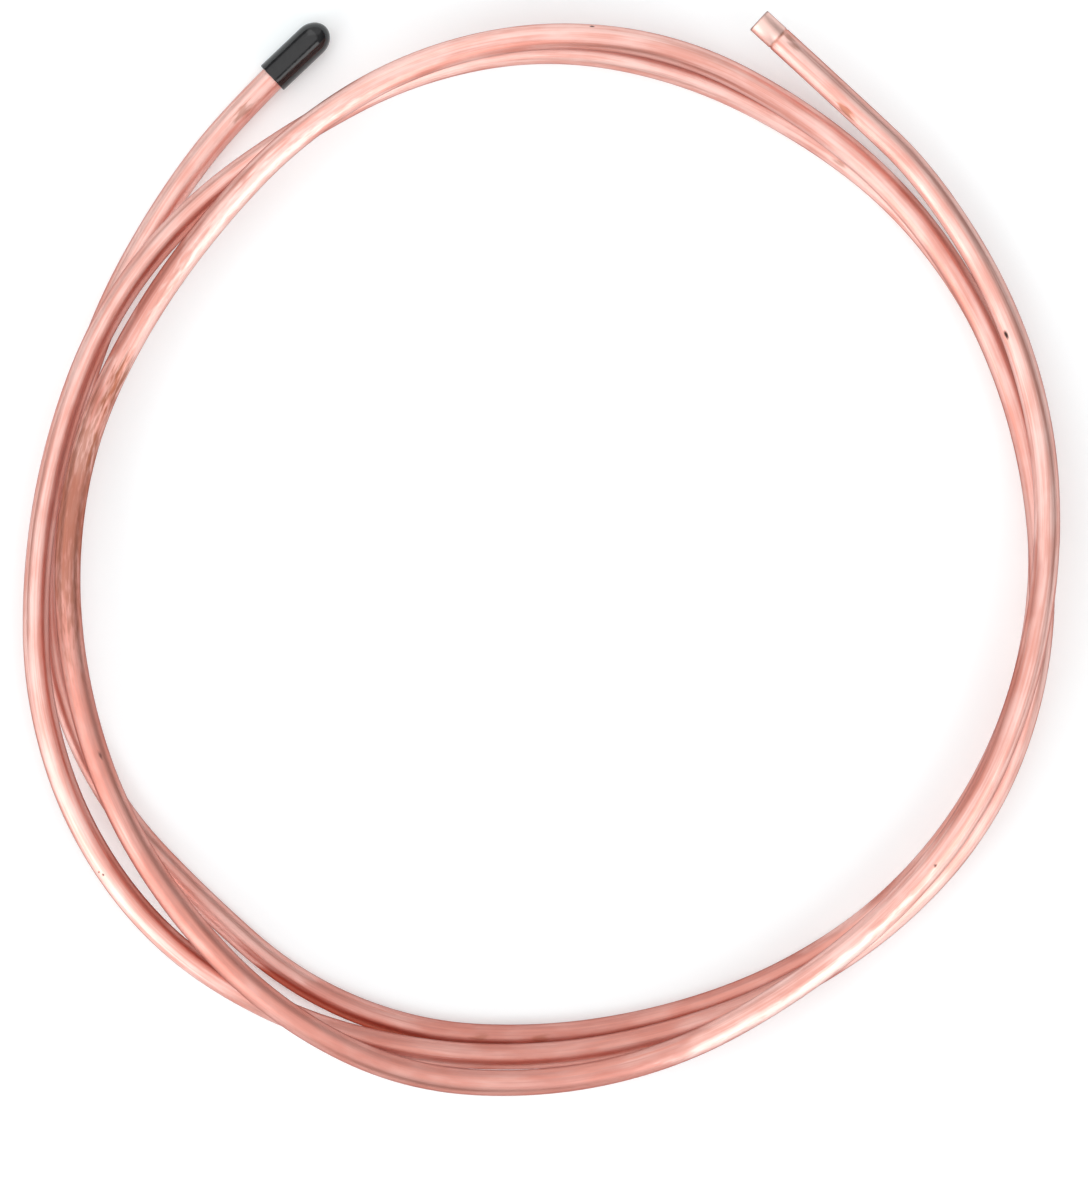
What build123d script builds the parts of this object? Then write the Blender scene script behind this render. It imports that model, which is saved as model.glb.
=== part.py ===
from build123d import *
from math import cos, pi, radians, sin, tan
import os

# Soft copper tube, 6 mm outside and 4 mm bore, bent into a loose coil that lies on the floor.
# Both ends are cut square, and a dip-moulded vinyl cap closes the end of the lowest turn.
# Millimetres: +Z is up from the floor, and the origin is the middle of the coil's footprint.

# Tube stock
TUBE_OD = 6.0
TUBE_WALL = 1.0
CUT_EDGE_ROUND = 0.2  # the cutter's wheel rolls the outer corner of a cut end in by this much

# Coil
COIL_RADIUS = 115.4  # mean radius of the turns, to the tube's centre line
TURN_GAP = 0.3  # air between a turn and the turn that it lies on
COIL_AXIS_X = 0.4  # the coil's axis stands off the middle of its uneven footprint
COIL_AXIS_Y = -1.2
CUT_RUN = 30.0  # last stretch, from its bend to the open cut end
CAP_STANDOFF = 10.5  # bare tube between the first bend and the mouth of the cap

# End cap
CAP_WALL = 0.85
CAP_LENGTH = 17.2
CAP_DOME = 4.6  # length of the closed end, which is half an ellipse seen from the side
CAP_TIP_FLAT = 0.5  # the tip is flat this far out from the cap's axis
CAP_TIP_WALL = 1.3
CAP_GRIP = 9.5  # how far the tube reaches into the cap
CAP_CLEARANCE = 0.05  # round the tube
CAP_RIM_ROUND = 0.25

# Angles round the coil's axis in degrees, counted on from turn to turn
FULL_TURN = 360
STATION_STEP = 15
FIRST_STATION = 135
FIRST_CLIMB = 395  # here the tube starts to climb on to its own first turn
CLIMB_SPAN = 110  # and it is one layer up after this much of a turn
CAPPED_BEND_ANGLE = 124
CAPPED_HEADING = 43.5  # the way the capped end points
CUT_BEND_ANGLE = 1135.4
CUT_HEADING = 137.5  # the way the cut end points

# How far each station of the coil sways out from the mean radius, in tube diameters
SWAY_SHARES = (
    0.66, 0.01, -0.41, -0.41, -0.38, -0.41, -0.82, -0.46, -0.50, -0.91, -1.04, -0.82,
    -0.49, -0.26, -0.11, -0.03, -0.05, 0.04, 0.10, 0.03, 0.26, 0.41, 0.10, -0.38,
    -0.22, -0.07, -0.14, 0.12, 0.78, 1.27, 1.38, 0.87, 0.21, -0.28, -0.46, -0.29,
    0.03, 0.34, 0.21, -0.08, -0.14, 0.00, 0.29, 0.54, 1.00, 0.92, 0.40, -0.41,
    -1.16, -1.38, -1.14, -1.00, -0.77, -0.34, 0.14, 0.80, 1.28, 0.87, 0.35, -0.25,
    -0.33, -0.20, -0.20, 0.05, 0.50, 0.93, 1.42,
)
CAPPED_BEND_SWAY_SHARE = 1.49
CUT_BEND_SWAY_SHARE = 1.66
BEND_SHARE = 0.45  # each bend takes up this share of the shorter run beside it

TUBE_RADIUS = TUBE_OD / 2
BORE_RADIUS = TUBE_RADIUS - TUBE_WALL
CAP_BORE_RADIUS = TUBE_RADIUS + CAP_CLEARANCE
CAP_RADIUS = CAP_BORE_RADIUS + CAP_WALL
CAP_STRAIGHT = CAP_LENGTH - CAP_DOME
CAP_DEPTH = CAP_LENGTH - CAP_TIP_WALL


def layers_climbed(angle):
    """The tube climbs one layer in each turn, eased in and out over the same stretch."""
    layers = 0
    for start in (FIRST_CLIMB, FIRST_CLIMB + FULL_TURN):
        done_share = min(max((angle - start) / CLIMB_SPAN, 0), 1)
        layers += (1 - cos(pi * done_share)) / 2
    return layers


def station(angle, sway_share, lift=0):
    """A corner of the route, set out so far that the arc inside it lies on the turn's own radius."""
    radius = (COIL_RADIUS + sway_share * TUBE_OD) / cos(radians(STATION_STEP / 2))
    height = TUBE_RADIUS + layers_climbed(angle) * (TUBE_OD + TURN_GAP) + lift
    x = COIL_AXIS_X + radius * cos(radians(angle))
    y = COIL_AXIS_Y + radius * sin(radians(angle))
    return Vector(x, y, height)


def heading(angle):
    return Vector(cos(radians(angle)), sin(radians(angle)), 0)


def route_corners():
    """Corners from the capped end, round the coil, to the cut end. The cap lies on the floor."""
    capped_bend = station(CAPPED_BEND_ANGLE, CAPPED_BEND_SWAY_SHARE, CAP_RADIUS - TUBE_RADIUS)
    cut_bend = station(CUT_BEND_ANGLE, CUT_BEND_SWAY_SHARE)
    corners = [capped_bend + heading(CAPPED_HEADING) * (CAP_STANDOFF + CAP_GRIP), capped_bend]
    for number, sway_share in enumerate(SWAY_SHARES):
        corners.append(station(FIRST_STATION + number * STATION_STEP, sway_share))
    return corners + [cut_bend, cut_bend + heading(CUT_HEADING) * CUT_RUN]


def bend_radii(corners):
    """Each bend is as wide as its runs allow, so that the coil curves almost all the way."""
    radii = []
    for before, corner, after in zip(corners, corners[1:], corners[2:]):
        shorter_run = min((corner - before).length, (after - corner).length)
        turn = radians((corner - before).get_angle(after - corner))
        radii.append(BEND_SHARE * shorter_run / tan(turn / 2))
    return radii


corners = route_corners()
radii = bend_radii(corners)

with BuildPart() as copper_tube:
    with BuildLine() as route:
        FilletPolyline(*corners, radius=radii)
    with BuildSketch(Plane(corners[0], z_dir=corners[1] - corners[0])):
        Circle(TUBE_RADIUS)
        Circle(BORE_RADIUS, mode=Mode.SUBTRACT)
    sweep(path=route.wire())
    swept_volume = copper_tube.part.volume
    cut_rims = copper_tube.faces().filter_by(GeomType.PLANE).edges().filter_by(
        lambda edge: edge.geom_type == GeomType.CIRCLE and edge.radius > (TUBE_RADIUS + BORE_RADIUS) / 2
    )
    fillet(cut_rims, CUT_EDGE_ROUND)
copper_tube.part.label = "copper_tube"

cap_heading = heading(CAPPED_HEADING)
cap_mouth = corners[0] - cap_heading * CAP_GRIP
cap_side = Plane(cap_mouth, x_dir=cap_heading, z_dir=cap_heading.cross(Vector(0, 0, 1)))
dome_centre = (CAP_STRAIGHT, CAP_TIP_FLAT)
with BuildPart() as end_cap:
    with BuildSketch(cap_side) as wall:
        with BuildLine():
            Polyline(
                (CAP_STRAIGHT, CAP_BORE_RADIUS),
                (0, CAP_BORE_RADIUS),
                (0, CAP_RADIUS),
                (CAP_STRAIGHT, CAP_RADIUS),
            )
            EllipticalCenterArc(dome_centre, CAP_DOME, CAP_RADIUS - CAP_TIP_FLAT)
            Polyline(
                (CAP_LENGTH, CAP_TIP_FLAT),
                (CAP_LENGTH, 0),
                (CAP_DEPTH, 0),
                (CAP_DEPTH, CAP_TIP_FLAT),
            )
            EllipticalCenterArc(dome_centre, CAP_DOME - CAP_TIP_WALL, CAP_BORE_RADIUS - CAP_TIP_FLAT)
        make_face()
        fillet(wall.vertices().sort_by(Axis.X)[:2], CAP_RIM_ROUND)
    revolve(axis=Axis(cap_mouth, cap_heading))
end_cap.part.label = "end_cap"

os.makedirs("parts", exist_ok=True)
export_step(copper_tube.part, "parts/copper_tube.step")
export_step(end_cap.part, "parts/end_cap.step")

section = pi * (TUBE_RADIUS**2 - BORE_RADIUS**2)
length = route.wire().length
box = copper_tube.part.bounding_box().add(end_cap.part.bounding_box())
print(f"tube length {length:.1f}, section times length {section * length:.0f}, swept {swept_volume:.0f}")
print("bend radii from", round(min(radii), 1), "to", round(max(radii), 1))
print("cut end at", corners[-1], "pointing", heading(CUT_HEADING))
print("box from", box.min, "to", box.max)
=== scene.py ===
from bisect import bisect_right
from math import cos, pi, radians, sin, sqrt

import bmesh
import bpy
from mathutils import Matrix, Vector


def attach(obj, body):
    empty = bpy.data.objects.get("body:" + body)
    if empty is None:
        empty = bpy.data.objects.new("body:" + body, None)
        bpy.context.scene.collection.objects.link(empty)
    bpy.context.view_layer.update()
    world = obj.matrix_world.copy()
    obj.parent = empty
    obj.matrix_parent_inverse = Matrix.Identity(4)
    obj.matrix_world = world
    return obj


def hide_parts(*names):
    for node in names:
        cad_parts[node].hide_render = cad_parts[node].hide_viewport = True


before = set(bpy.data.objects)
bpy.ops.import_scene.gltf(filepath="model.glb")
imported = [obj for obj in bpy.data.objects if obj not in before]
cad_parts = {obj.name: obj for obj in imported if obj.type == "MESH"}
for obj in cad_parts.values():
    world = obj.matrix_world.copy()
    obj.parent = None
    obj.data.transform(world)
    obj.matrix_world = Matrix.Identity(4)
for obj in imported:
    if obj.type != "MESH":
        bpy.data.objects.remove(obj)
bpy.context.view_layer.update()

# A loose coil of soft copper tube with a black vinyl cap on one end, lying on a pale floor.
# Metres: +Z is up from the floor, and the origin is the middle of the coil's footprint.

# Tube stock
TUBE_OD = 0.006
TUBE_WALL = 0.001
TUBE_RADIUS = TUBE_OD / 2
BORE_RADIUS = TUBE_RADIUS - TUBE_WALL

# Coil
COIL_RADIUS = 0.1154
TURN_GAP = 0.0003
COIL_AXIS_X = 0.0004
COIL_AXIS_Y = -0.0012
CUT_RUN = 0.030
CAP_STANDOFF = 0.0105

# Angles round the coil's axis in degrees, counted on from turn to turn
FULL_TURN = 360
STATION_STEP = 15
FIRST_STATION = 135
FIRST_CLIMB = 395
CLIMB_SPAN = 110
CAPPED_BEND_ANGLE = 124
CAPPED_HEADING = 43.5
CUT_BEND_ANGLE = 1135.4
CUT_HEADING = 137.5

# How far each station of the coil sways out from the mean radius, in tube diameters
SWAY_SHARES = (
    0.70, 0.01, -0.41, -0.30, -0.02, -0.25, -0.78, -0.46, -0.50, -0.91, -1.04, -0.82,
    -0.49, -0.26, -0.11, -0.03, -0.05, 0.04, 0.10, 0.03, 0.26, 0.41, 0.10, -0.38,
    -0.22, -0.07, -0.14, 0.12, 0.78, 1.27, 1.38, 0.87, 0.24, -0.21, -0.44, -0.29,
    0.03, 0.34, 0.21, -0.08, -0.14, 0.00, 0.29, 0.54, 1.00, 0.92, 0.40, -0.41,
    -1.19, -1.38, -1.14, -1.00, -0.77, -0.34, 0.14, 0.80, 1.19, 0.80, 0.33, -0.25,
    -0.33, -0.20, -0.20, 0.05, 0.50, 0.93, 1.42,
)
CAPPED_BEND_SWAY_SHARE = 1.52
CUT_BEND_SWAY_SHARE = 1.66

# End cap
CAP_WALL = 0.00085
CAP_LENGTH = 0.0172
CAP_DOME = 0.0046
CAP_TIP_WALL = 0.0013
CAP_GRIP = 0.0095
CAP_CLEARANCE = 0.00005
CAP_RIM_ROUND = 0.00025
CAP_BORE_RADIUS = TUBE_RADIUS + CAP_CLEARANCE
CAP_RADIUS = CAP_BORE_RADIUS + CAP_WALL

# Cut end of the tube
SCORE_FROM_END = 0.0062  # a ring that the cutter scored before the tube was cut further out
SCORE_WIDTH = 0.0006
SCORE_DEPTH = 0.0002
RIM_ROUND = 0.0003
# How dark the painted shade on the cut end's rim is
RIM_PAINTED_SHADE = 0.6

# Photograph
PHOTO_WIDTH, PHOTO_HEIGHT = 1088, 1200
TUBE_PIXELS = 26  # the tube's width in the photograph
COIL_PIXEL_X, COIL_PIXEL_Y = 543, 560  # the coil's axis in the photograph
PIXEL = TUBE_OD / TUBE_PIXELS
CAMERA_HEIGHT = 4.0
FOCUS_HEIGHT = 1.5 * TUBE_OD  # the level at which the photograph's scale holds

# Surroundings
WHITE = (1, 1, 1, 1)
FLOOR_SIZE = 12.0
FLOOR_COLOUR = (0.82, 0.86, 0.87, 1)
FLOOR_ROUGHNESS = 0.9
FLOOR_GLOW = 0.21  # the white that the floor shows to the camera and to the metal
TENT_TOP = 0.44
TENT_FOOT = 0.14
# Softboxes: direction and elevation in degrees, distance, width, height, radiance
SOFTBOXES = {
    "top_softbox": (133, 62, 0.8, 1.2, 1.5, 0.82),
    "back_softbox": (90, 22, 0.36, 0.36, 0.28, 0.62),
    "left_softbox": (214, 25, 0.9, 0.52, 0.85, 2.85),
    "right_softbox": (310, 34, 0.9, 0.78, 0.95, 2.15),
}

# Copper's colours: clean, tarnished with painted shade, a painted highlight, the cut end, brown
# stains, and specks with painted rim shade
COPPER_PALE = (0.97, 0.65, 0.59, 1)
COPPER_DEEP = (0.82, 0.40, 0.335, 1)
COPPER_TARNISH_AND_SHADE = (0.47, 0.10, 0.06, 1)
# the colour of the painted highlights
COPPER_PAINTED_HIGHLIGHT = (1.0, 0.86, 0.80, 1)
COPPER_CUT = (0.98, 0.67, 0.60, 1)
COPPER_BROWN = (0.36, 0.11, 0.05, 1)
# dark specks, and the painted shade on the cut end's rim
COPPER_SPECK_AND_RIM_SHADE = (0.06, 0.035, 0.03, 1)
COPPER_EDGE_TINT = (0.08, 0.08, 0.12, 1)
ROUGH_LOW = 0.40
ROUGH_HIGH = 0.54
SCRATCH_STRENGTH = 0.2
SCRATCH_HEIGHT = 0.00005

# Copper's grains: size across the tube, size along it, detail, seed
STREAKS = (0.0012, 0.060, 2, 3)
SCRATCHES = (0.0004, 0.020, 3, 17)
MOTTLING = (0.004, 0.012, 3, 11)
BLOTCHES = (0.006, 0.020, 2, 29)
FRAYING = (0.0007, 0.0040, 2, 41)  # of the edges of marks
# Where a grain, or a sum of grains, starts to count and where it counts in full
TWO_GRAINS = (0.7, 1.3)
THREE_GRAINS = (1.2, 1.8)
BLOTCH_SPREAD = (0.2, 0.8)
FRAY_SPREAD = (0.25, 0.75)
SCORE_DARKENING_SPREAD = (0.3, 0.7)

# Stretches of the tube that are dulled: tarnished copper, and where they run along the coil's -Y
# side also painted shade, as less light is reflected there: from, to, how deeply
TARNISH_AND_SHADE_STRETCHES = (
    (0.190, 0.260, 0.30),
    (0.260, 0.385, 0.50),
    (0.990, 1.105, 0.48),
    (1.558, 1.595, 0.47),
    (1.595, 1.750, 0.47),
    (1.750, 1.800, 0.46),
)
# Painted shade on flanks that lie against the next turn, where shade falls between the turns: from,
# to, side (1 outer, -1 inner), how deeply
PAINTED_FLANK_SHADE = (
    (0.085, 0.160, -1, 0.50),
    (0.253, 0.300, 1, 0.95),
    (0.630, 0.690, 1, 0.45),
    (0.765, 0.835, -1, 0.55),
    (0.835, 0.930, -1, 0.38),
    (0.938, 0.966, -1, 0.60),
    (1.215, 1.290, -1, 0.30),
    (1.235, 1.310, 1, 0.50),
    (1.345, 1.425, -1, 0.36),
    (1.500, 1.526, 1, 0.70),
    (1.895, 1.935, -1, 0.50),
)
# Where the painted shade on a flank starts and where it is full, outwards from the tube's middle
FLANK_SHADE_START = -0.0003
FLANK_SHADE_FULL = 0.0018
STRETCH_FADE = 0.02
STRETCH_WANDER = 0.02
TARNISH_AND_SHADE_THIN, TARNISH_AND_SHADE_THICK = 0.6, 1.3  # how patchy the dulled stretches are

# Marks: place along the tube, place outwards from its middle, half length, half width, depth
# Painted highlights: paler patches that stand for the widest white highlights
PAINTED_HIGHLIGHTS = (
    (1.4850, -0.0012, 0.0300, 0.0020, 0.6),
    (1.8350, 0.0020, 0.0350, 0.0018, 0.5),
)
BROWN_PATCHES = (
    (0.0195, -0.0008, 0.0035, 0.0016, 0.55),
    (0.2980, 0.0002, 0.0022, 0.0010, 0.4),
    (0.3120, 0.0004, 0.0020, 0.0010, 0.4),
    (0.5962, -0.0011, 0.0018, 0.0008, 0.5),
    (1.5410, -0.0016, 0.0080, 0.0021, 0.85),
    (1.5575, -0.0016, 0.0060, 0.0012, 0.8),
    (1.5720, 0.0000, 0.0300, 0.0060, 0.6),
    (1.5860, -0.0008, 0.0070, 0.0011, 0.5),
    (2.0658, -0.0020, 0.0030, 0.0010, 0.75),
    (2.0848, 0.0011, 0.0018, 0.0008, 0.45),
    (2.0873, 0.0017, 0.0018, 0.0008, 0.50),
)
DARK_SPECKS = (
    (0.9260, 0.0020, 0.0003, 0.0003, 0.9),
    (0.9270, 0.0015, 0.0003, 0.0003, 0.9),
    (1.3957, 0.0025, 0.0005, 0.0004, 0.9),
    (1.6290, -0.0009, 0.0012, 0.0004, 0.7),
    (1.8719, 0.0006, 0.0005, 0.0004, 0.9),
    (2.0011, -0.0017, 0.0010, 0.0005, 1.0),
)
# From the middle of a mark, in half sizes: where it starts and where it is at its deepest
MARK_EDGE, MARK_HEART = 1.3, 0.2
MARK_FRAY = 0.5  # how far its edge is frayed in and out

# Black vinyl
VINYL_DARK = (0.004, 0.004, 0.005, 1)
VINYL_PALE = (0.012, 0.012, 0.013, 1)
VINYL_GLOSS = 0.54
VINYL_ROUGH_LOW = 0.10
VINYL_ROUGH_HIGH = 0.20
SKIN_SCALE = 900
SKIN_DETAIL = 3
SKIN_SPREAD = (0.3, 0.7)
SKIN_STRENGTH = 0.2
SKIN_HEIGHT = 0.0001

# Fineness of the meshes
ROUTE_STEPS = 40  # points of the smooth route from one station to the next
RING_STEP = 0.0025  # along the tube's outside
BORE_RING_STEP = 0.01  # along its bore
TUBE_SIDES = 40
CAP_SIDES = 48
DOME_STEPS = 10
RIM_STEPS = 4
CAP_RINGS = 30
SAME_POINT = TUBE_WALL / 1000  # points that are nearer than this are merged


def layers_climbed(angle):
    """The tube climbs one layer in each turn, eased in and out over the same stretch."""
    layers = 0
    for start in (FIRST_CLIMB, FIRST_CLIMB + FULL_TURN):
        done_share = min(max((angle - start) / CLIMB_SPAN, 0), 1)
        layers += (1 - cos(pi * done_share)) / 2
    return layers


def station(angle, sway_share, lift=0):
    """A point that steers the route, far enough out for the route to lie on the turn's radius."""
    radius = (COIL_RADIUS + sway_share * TUBE_OD) / cos(radians(STATION_STEP / 2))
    height = TUBE_RADIUS + layers_climbed(angle) * (TUBE_OD + TURN_GAP) + lift
    x = COIL_AXIS_X + radius * cos(radians(angle))
    y = COIL_AXIS_Y + radius * sin(radians(angle))
    return Vector((x, y, height))


def heading(angle):
    return Vector((cos(radians(angle)), sin(radians(angle)), 0))


def route_stations():
    """The stations from the capped end, round the coil, to the cut end."""
    cap_lift = CAP_RADIUS - TUBE_RADIUS  # the cap lies on the floor
    capped_bend = station(CAPPED_BEND_ANGLE, CAPPED_BEND_SWAY_SHARE, cap_lift)
    cut_bend = station(CUT_BEND_ANGLE, CUT_BEND_SWAY_SHARE)
    capped_end = capped_bend + heading(CAPPED_HEADING) * (CAP_STANDOFF + CAP_GRIP)
    cut_end = cut_bend + heading(CUT_HEADING) * CUT_RUN
    turns = [
        station(FIRST_STATION + number * STATION_STEP, sway_share)
        for number, sway_share in enumerate(SWAY_SHARES)
    ]
    return [capped_end, capped_bend, *turns, cut_bend, cut_end]


class Route:
    """The tube's centre line, a smooth spline that the straight tube is bent on to."""

    def __init__(self, stations):
        curve = bpy.data.curves.new("route", "CURVE")
        curve.dimensions = "3D"
        spline = curve.splines.new("NURBS")
        spline.points.add(len(stations) - 1)
        for point, place in zip(spline.points, stations):
            point.co = (*place, 1)
        spline.order_u = 3
        spline.use_endpoint_u = True
        spline.resolution_u = ROUTE_STEPS
        holder = bpy.data.objects.new("route", curve)
        line = bpy.data.meshes.new_from_object(holder)
        self.points = [vertex.co.copy() for vertex in line.vertices]
        bpy.data.meshes.remove(line)
        bpy.data.objects.remove(holder)
        bpy.data.curves.remove(curve)
        self.lengths = [0]
        for before, after in zip(self.points, self.points[1:]):
            self.lengths.append(self.lengths[-1] + (after - before).length)
        self.length = self.lengths[-1]

    def at(self, along):
        """The point at this length along the route."""
        number = min(max(bisect_right(self.lengths, along) - 1, 0), len(self.points) - 2)
        start, end = self.lengths[number:number + 2]
        return self.points[number].lerp(self.points[number + 1], (along - start) / (end - start))

    def bend(self, straight):
        """Where a point of the straight tube, (up, out, along), comes to lie on the coil."""
        up_by, out_by, along = straight
        reach = RING_STEP / 2
        before = self.at(max(along - reach, 0))
        after = self.at(min(along + reach, self.length))
        forward = (after - before).normalized()
        out = forward.cross(Vector((0, 0, 1))).normalized()
        up = out.cross(forward)
        return self.at(along) + up * up_by + out * out_by


def smooth_object(name, bm):
    """Makes an object of a finished mesh, with its faces pointing outwards and shaded smoothly."""
    bmesh.ops.remove_doubles(bm, verts=bm.verts, dist=SAME_POINT)
    bmesh.ops.recalc_face_normals(bm, faces=bm.faces)
    for face in bm.faces:
        face.smooth = True
    mesh = bpy.data.meshes.new(name)
    bm.to_mesh(mesh)
    bm.free()
    made = bpy.data.objects.new(name, mesh)
    bpy.context.scene.collection.objects.link(made)
    return made


def outline(bm, corners):
    """Edges through (radius, along) corners and back, in the plane that the shape is spun from."""
    verts = [bm.verts.new((radius, 0, along)) for radius, along in corners]
    for pair in zip(verts, verts[1:] + verts[:1]):
        bm.edges.new(pair)
    return verts


def spin_round(bm, sides):
    """Spins an outline about Z and turns it by half a side, so that the shape lies on a facet."""
    bmesh.ops.spin(
        bm,
        geom=bm.verts[:] + bm.edges[:],
        cent=(0, 0, 0),
        axis=(0, 0, 1),
        angle=2 * pi,
        steps=sides,
        use_merge=True,
    )
    half_side = Matrix.Rotation(pi / sides, 3, "Z")
    bmesh.ops.rotate(bm, cent=(0, 0, 0), matrix=half_side, verts=bm.verts)


def round_rim(bm, corners, size):
    """Rounds corners of an outline, which spin into the edges of a rim."""
    bmesh.ops.bevel(
        bm,
        geom=corners,
        offset=size,
        offset_type="OFFSET",
        affect="VERTICES",
        segments=RIM_STEPS,
        profile=0.5,
        material=-1,
    )


def two_longest(edges):
    return sorted(edges, key=lambda edge: edge.calc_length())[-2:]


def make_tube(route):
    """The tube is made straight, with its bore and its cut end, and then bent on to its route."""
    bm = bmesh.new()
    end = route.length
    score = end - SCORE_FROM_END
    verts = outline(bm, (
        (BORE_RADIUS, 0),
        (TUBE_RADIUS, 0),
        (TUBE_RADIUS, score - SCORE_WIDTH / 2),
        (TUBE_RADIUS - SCORE_DEPTH, score),
        (TUBE_RADIUS, score + SCORE_WIDTH / 2),
        (TUBE_RADIUS, end),
        (BORE_RADIUS, end),
    ))
    round_rim(bm, [verts[1], verts[5]], RIM_ROUND)
    bore, outside = sorted(two_longest(bm.edges), key=lambda edge: edge.verts[0].co.x)
    bmesh.ops.subdivide_edges(bm, edges=[outside], cuts=round(end / RING_STEP))
    bmesh.ops.subdivide_edges(bm, edges=[bore], cuts=round(end / BORE_RING_STEP))
    spin_round(bm, TUBE_SIDES)
    straight = bm.verts.layers.float_vector.new("straight")
    for vert in bm.verts:
        vert[straight] = vert.co
        vert.co = route.bend(vert.co)
    return smooth_object("copper_tube_coil", bm)


def cap_wall(bm, radius, rise):
    """One wall of the cap's outline, from its mouth to the middle of its domed tip.

    Returns its corner at the mouth.
    """
    shoulder_at = CAP_LENGTH - CAP_DOME
    others = set(bm.verts)
    mouth = bm.verts.new((radius, 0, 0))
    shoulder = bm.verts.new((radius, 0, shoulder_at))
    bm.edges.new((mouth, shoulder))
    middle = Vector((0, 0, shoulder_at))
    bmesh.ops.spin(
        bm,
        geom=[shoulder],
        cent=middle,
        axis=(0, 1, 0),
        angle=-pi / 2,
        steps=DOME_STEPS,
    )
    dome = [vert for vert in bm.verts if vert not in others and vert.co.z > shoulder_at]
    to_middle = Matrix.Translation(-middle)
    bmesh.ops.scale(bm, vec=(1, 1, rise / radius), space=to_middle, verts=dome)
    return mouth


def turn_to(ahead):
    """Turns a shape that was spun about Z so that its axis points ahead, with its first side up."""
    up = Vector((0, 0, 1))
    return Matrix((up, ahead.cross(up), ahead)).transposed().to_4x4()


def make_cap(stations):
    """The dip-moulded cap: a soft sleeve with a round mouth and a domed tip, on the tube's end."""
    bm = bmesh.new()
    mouth = [
        cap_wall(bm, CAP_RADIUS, CAP_DOME),
        cap_wall(bm, CAP_BORE_RADIUS, CAP_DOME - CAP_TIP_WALL),
    ]
    bm.edges.new(mouth)
    round_rim(bm, mouth, CAP_RIM_ROUND)
    bmesh.ops.subdivide_edges(bm, edges=two_longest(bm.edges), cuts=CAP_RINGS)
    spin_round(bm, CAP_SIDES)
    ahead = heading(CAPPED_HEADING)
    rim_middle = Matrix.Translation(stations[0] - ahead * CAP_GRIP)
    bmesh.ops.transform(bm, matrix=rim_middle @ turn_to(ahead), verts=bm.verts)
    return smooth_object("vinyl_cap", bm)


def put(tree, kind, inputs=(), **settings):
    """Adds a node. Each of its inputs is a plain value, or a socket that gets linked to it."""
    node = tree.nodes.new("ShaderNode" + kind)
    for name, value in settings.items():
        setattr(node, name, value)
    for name, value in dict(inputs).items():
        if isinstance(value, bpy.types.NodeSocket):
            tree.links.new(value, node.inputs[name])
        else:
            node.inputs[name].default_value = value
    return node.outputs


def blend_colours(tree, share, first, second):
    """The first colour where share is 0, the second where it is 1."""
    return put(tree, "Mix", {0: share, 6: first, 7: second}, data_type="RGBA")[2]


def ramp(tree, value, low, high, to_low=0, to_high=1):
    """Eases from to_low to to_high while value goes from low to high."""
    inputs = {
        "Value": value,
        "From Min": low,
        "From Max": high,
        "To Min": to_low,
        "To Max": to_high,
    }
    return put(tree, "MapRange", inputs, interpolation_type="SMOOTHSTEP")[0]


def reckon(tree, operation, first, second=0):
    return put(tree, "Math", {0: first, 1: second}, operation=operation)[0]


def largest(tree, shares):
    """The largest of these shares at each point of the surface."""
    most = 0
    for share in shares:
        most = reckon(tree, "MAXIMUM", share, most)
    return most


def grain(tree, place, across, along, detail, seed):
    """Noise on the straight tube, with features of that size across and along the tube."""
    stretched = put(tree, "Mapping", {
        "Vector": place,
        "Scale": (1 / across, 1 / across, 1 / along),
        "Location": (seed, seed, seed),
    })[0]
    return put(tree, "TexNoise", {"Vector": stretched, "Scale": 1, "Detail": detail})["Fac"]


def relief(tree, height, strength, distance):
    return put(tree, "Bump", {"Height": height, "Strength": strength, "Distance": distance})[0]


def new_finish(name):
    """A new material, with its nodes and its shader's inputs."""
    material = bpy.data.materials.new(name)
    material.use_nodes = True
    tree = material.node_tree
    return material, tree, tree.nodes["Principled BSDF"].inputs


def stretch(tree, along, start, end):
    """1 between start and end along the tube, fading out past them."""
    begun = ramp(tree, along, start - STRETCH_FADE, start)
    ended = ramp(tree, along, end, end + STRETCH_FADE)
    return reckon(tree, "SUBTRACT", begun, ended)


def tarnish_and_shade_depth(tree, outward, along, drawn, blotches):
    """How deep the dulling is: tarnished copper and painted shade on the dulled stretches, and
    painted shade on the flanks that lie against the next turn.
    """
    shift = ramp(tree, blotches, *BLOTCH_SPREAD, -STRETCH_WANDER, STRETCH_WANDER)
    wandered = reckon(tree, "ADD", along, shift)
    dulled = largest(tree, [
        reckon(tree, "MULTIPLY", stretch(tree, wandered, start, end), depth)
        for start, end, depth in TARNISH_AND_SHADE_STRETCHES
    ])
    blotched = reckon(tree, "ADD", drawn, blotches)
    patchy = ramp(tree, blotched, *THREE_GRAINS, TARNISH_AND_SHADE_THIN, TARNISH_AND_SHADE_THICK)
    shares = [reckon(tree, "MULTIPLY", dulled, patchy)]
    for start, end, side, depth in PAINTED_FLANK_SHADE:
        flank_shade = ramp(tree, outward, side * FLANK_SHADE_START, side * FLANK_SHADE_FULL, 0, depth)
        shares.append(reckon(tree, "MULTIPLY", stretch(tree, wandered, start, end), flank_shade))
    return largest(tree, shares)


def mark(tree, place, frayed, along, outward, half_length, half_width):
    """1 in the middle of a mark on the tube's upper side, fading out to its frayed edge."""
    upward = sqrt(TUBE_RADIUS ** 2 - outward ** 2)
    sizes = (half_width, half_width, half_length)
    scales = [1 / size for size in sizes]
    middle = [-at / size for at, size in zip((upward, outward, along), sizes)]
    centred = put(tree, "VectorMath", {0: place, 1: scales, 2: middle}, operation="MULTIPLY_ADD")
    distance = put(tree, "VectorMath", {0: centred[0]}, operation="LENGTH")["Value"]
    return ramp(tree, reckon(tree, "ADD", distance, frayed), MARK_EDGE, MARK_HEART)


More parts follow.
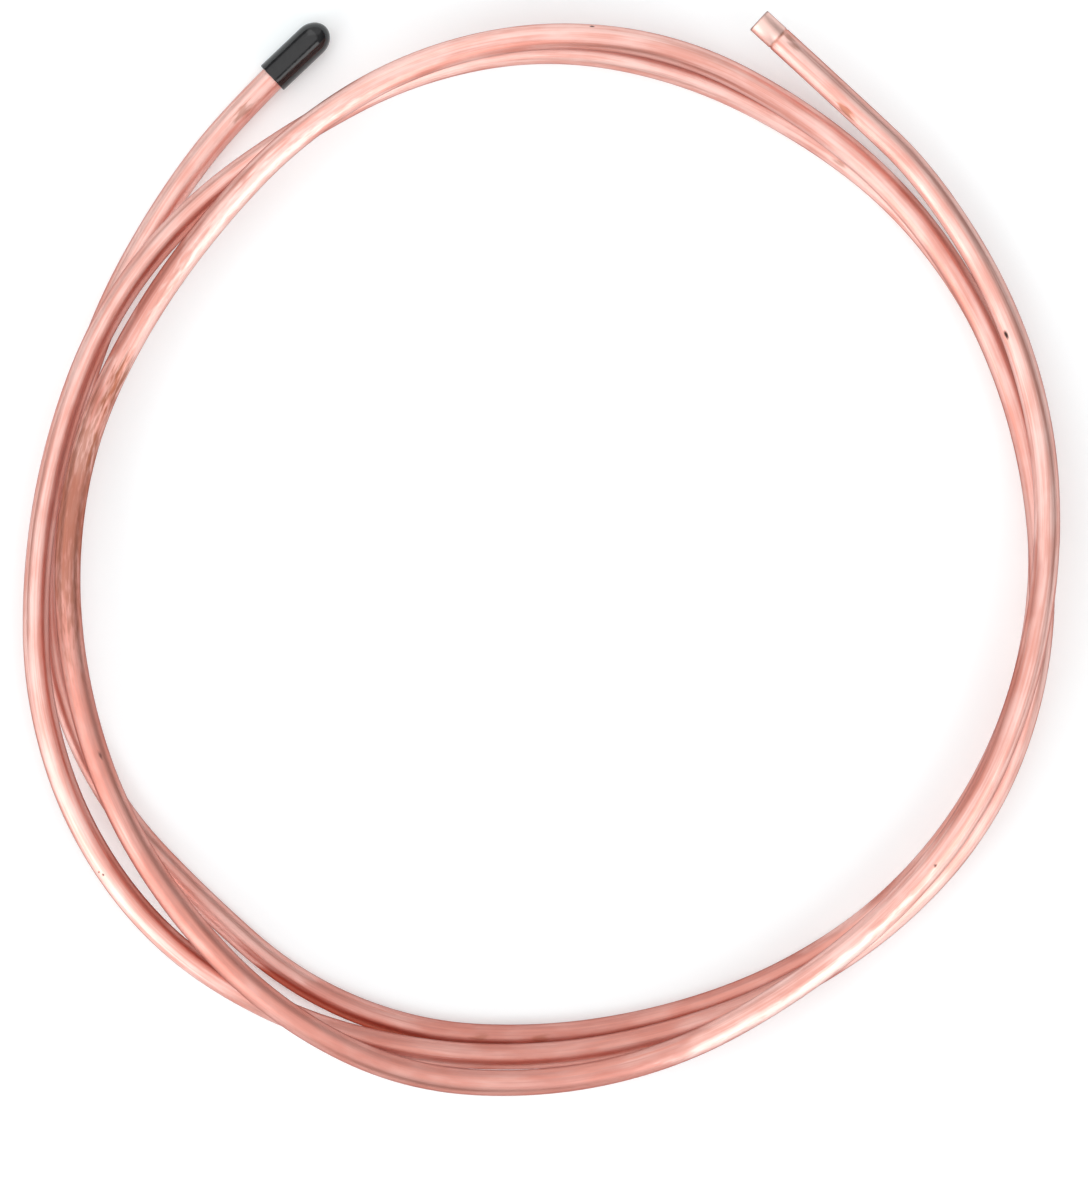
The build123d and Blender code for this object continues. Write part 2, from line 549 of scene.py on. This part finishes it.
def add_marks(tree, colour, place):
    """Adds the painted highlights, brown stains and dark specks to the copper's colour."""
    frayed = ramp(tree, grain(tree, place, *FRAYING), *FRAY_SPREAD, -MARK_FRAY, MARK_FRAY)
    for marks, tint in (
        (PAINTED_HIGHLIGHTS, COPPER_PAINTED_HIGHLIGHT),
        (BROWN_PATCHES, COPPER_BROWN),
        (DARK_SPECKS, COPPER_SPECK_AND_RIM_SHADE),
    ):
        stain = largest(tree, [
            reckon(tree, "MULTIPLY", mark(tree, place, frayed, *spot), depth)
            for *spot, depth in marks
        ])
        colour = blend_colours(tree, stain, colour, tint)
    return colour


def drawn_copper(length):
    """Soft drawn copper: streaks along it, tarnished stretches and painted shade, painted
    highlights, marks, and a bright end with painted shade on its rim.
    """
    material, tree, shader = new_finish("drawn_copper")
    place = put(tree, "Attribute", attribute_name="straight")["Vector"]
    straight = put(tree, "SeparateXYZ", {0: place})
    outward, along = straight["Y"], straight["Z"]
    scratches = grain(tree, place, *SCRATCHES)
    drawn = reckon(tree, "ADD", grain(tree, place, *STREAKS), scratches)
    mottling = grain(tree, place, *MOTTLING)
    blotches = grain(tree, place, *BLOTCHES)

    pale = ramp(tree, reckon(tree, "ADD", drawn, mottling), *THREE_GRAINS)
    colour = blend_colours(tree, pale, COPPER_DEEP, COPPER_PALE)
    # Tarnished copper, with painted shade on the dulled stretches and on the flanks between the
    # turns
    tarnish_and_shade = tarnish_and_shade_depth(tree, outward, along, drawn, blotches)
    colour = blend_colours(tree, tarnish_and_shade, colour, COPPER_TARNISH_AND_SHADE)

    score = length - SCORE_FROM_END
    bright_end = ramp(tree, along, score, score + SCORE_WIDTH)
    colour = blend_colours(tree, bright_end, colour, COPPER_CUT)
    colour = add_marks(tree, colour, place)

    # Patchy brown darkening along the score ring
    from_score = reckon(tree, "ABSOLUTE", reckon(tree, "SUBTRACT", along, score))
    near_score = ramp(tree, from_score, SCORE_WIDTH, 0)
    score_darkening = reckon(tree, "MULTIPLY", near_score, ramp(tree, mottling, *SCORE_DARKENING_SPREAD))
    colour = blend_colours(tree, score_darkening, colour, COPPER_BROWN)
    # Painted shade on the cut end's rim
    painted_rim_shade = ramp(tree, along, length - 2 * RIM_ROUND, length, 0, RIM_PAINTED_SHADE)
    colour = blend_colours(tree, painted_rim_shade, colour, COPPER_SPECK_AND_RIM_SHADE)
    tree.links.new(colour, shader["Base Color"])

    roughness = ramp(tree, drawn, *TWO_GRAINS, ROUGH_LOW, ROUGH_HIGH)
    tree.links.new(roughness, shader["Roughness"])
    bump = relief(tree, scratches, SCRATCH_STRENGTH, SCRATCH_HEIGHT)
    tree.links.new(bump, shader["Normal"])
    shader["Metallic"].default_value = 1
    shader["Specular Tint"].default_value = COPPER_EDGE_TINT
    return material


def dipped_vinyl():
    """Black vinyl with the slightly uneven gloss of a dipped skin."""
    material, tree, shader = new_finish("dipped_vinyl")
    place = put(tree, "TexCoord")["Object"]
    inputs = {"Vector": place, "Scale": SKIN_SCALE, "Detail": SKIN_DETAIL}
    skin = put(tree, "TexNoise", inputs)["Fac"]
    roughness = ramp(tree, skin, *SKIN_SPREAD, VINYL_ROUGH_LOW, VINYL_ROUGH_HIGH)
    tree.links.new(roughness, shader["Roughness"])
    colour = blend_colours(tree, skin, VINYL_DARK, VINYL_PALE)
    tree.links.new(colour, shader["Base Color"])
    tree.links.new(relief(tree, skin, SKIN_STRENGTH, SKIN_HEIGHT), shader["Normal"])
    shader["Specular IOR Level"].default_value = VINYL_GLOSS
    return material


def make_floor():
    """A plain pale floor, which shows white where no shadow falls and keeps the coil's shadow."""
    bm = bmesh.new()
    bmesh.ops.create_grid(bm, x_segments=1, y_segments=1, size=FLOOR_SIZE / 2)
    floor = smooth_object("floor", bm)
    material, tree, shader = new_finish("pale_floor")
    shader["Base Color"].default_value = FLOOR_COLOUR
    shader["Roughness"].default_value = FLOOR_ROUGHNESS
    shader["Specular IOR Level"].default_value = 0
    shader["Emission Color"].default_value = WHITE
    rays = put(tree, "LightPath")
    seen = largest(tree, [
        rays[kind] for kind in ("Is Camera Ray", "Is Glossy Ray", "Is Transmission Ray")
    ])
    tree.links.new(reckon(tree, "MULTIPLY", seen, FLOOR_GLOW), shader["Emission Strength"])
    floor.data.materials.append(material)


def light_tent():
    """The walls of a light tent all round: pale overhead and dim towards the floor."""
    world = bpy.data.worlds.new("tent")
    bpy.context.scene.world = world
    world.use_nodes = True
    tree = world.node_tree
    direction = put(tree, "TexCoord")["Generated"]
    height = put(tree, "SeparateXYZ", {0: direction})["Z"]
    walls = put(tree, "MapRange", {"Value": height, "To Min": TENT_FOOT, "To Max": TENT_TOP})[0]
    tree.links.new(walls, tree.nodes["Background"].inputs["Strength"])
    tree.nodes["Background"].inputs["Color"].default_value = WHITE


def softbox(name, azimuth, elevation, distance, width, height, radiance):
    """A rectangular lamp that faces the coil, as bright as radiance wherever it is seen."""
    lamp = bpy.data.lights.new(name, "AREA")
    lamp.shape = "RECTANGLE"
    lamp.size = width
    lamp.size_y = height
    lamp.energy = radiance * pi * width * height
    holder = bpy.data.objects.new(name, lamp)
    bpy.context.scene.collection.objects.link(holder)
    above = Vector((0, 0, sin(radians(elevation))))
    away = heading(azimuth) * cos(radians(elevation)) + above
    holder.location = away * distance
    holder.rotation_euler = away.to_track_quat("Z", "Y").to_euler()
    holder.visible_camera = False


def aim_camera():
    """Looks straight down on the coil, framed as in the photograph."""
    camera = bpy.data.cameras.new("camera")
    holder = bpy.data.objects.new("camera", camera)
    bpy.context.scene.collection.objects.link(holder)
    bpy.context.scene.camera = holder
    holder.location = (
        COIL_AXIS_X + (PHOTO_WIDTH / 2 - COIL_PIXEL_X) * PIXEL,
        COIL_AXIS_Y - (PHOTO_HEIGHT / 2 - COIL_PIXEL_Y) * PIXEL,
        CAMERA_HEIGHT,
    )
    view_height = PHOTO_HEIGHT * PIXEL
    camera.lens = camera.sensor_width * (CAMERA_HEIGHT - FOCUS_HEIGHT) / view_height
    camera.clip_end = FLOOR_SIZE


aim_camera()
stations = route_stations()
route = Route(stations)
tube = make_tube(route)
cap = make_cap(stations)
for piece, node, slot, finish in (
    (tube, "copper_tube", "copper", drawn_copper(route.length)),
    (cap, "end_cap", "black_vinyl", dipped_vinyl()),
):
    piece.data.materials.append(finish)
    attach(piece, "root")
    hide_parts(node)

make_floor()
light_tent()
for name, setting in SOFTBOXES.items():
    softbox(name, *setting)
bpy.context.scene.view_settings.view_transform = "Standard"
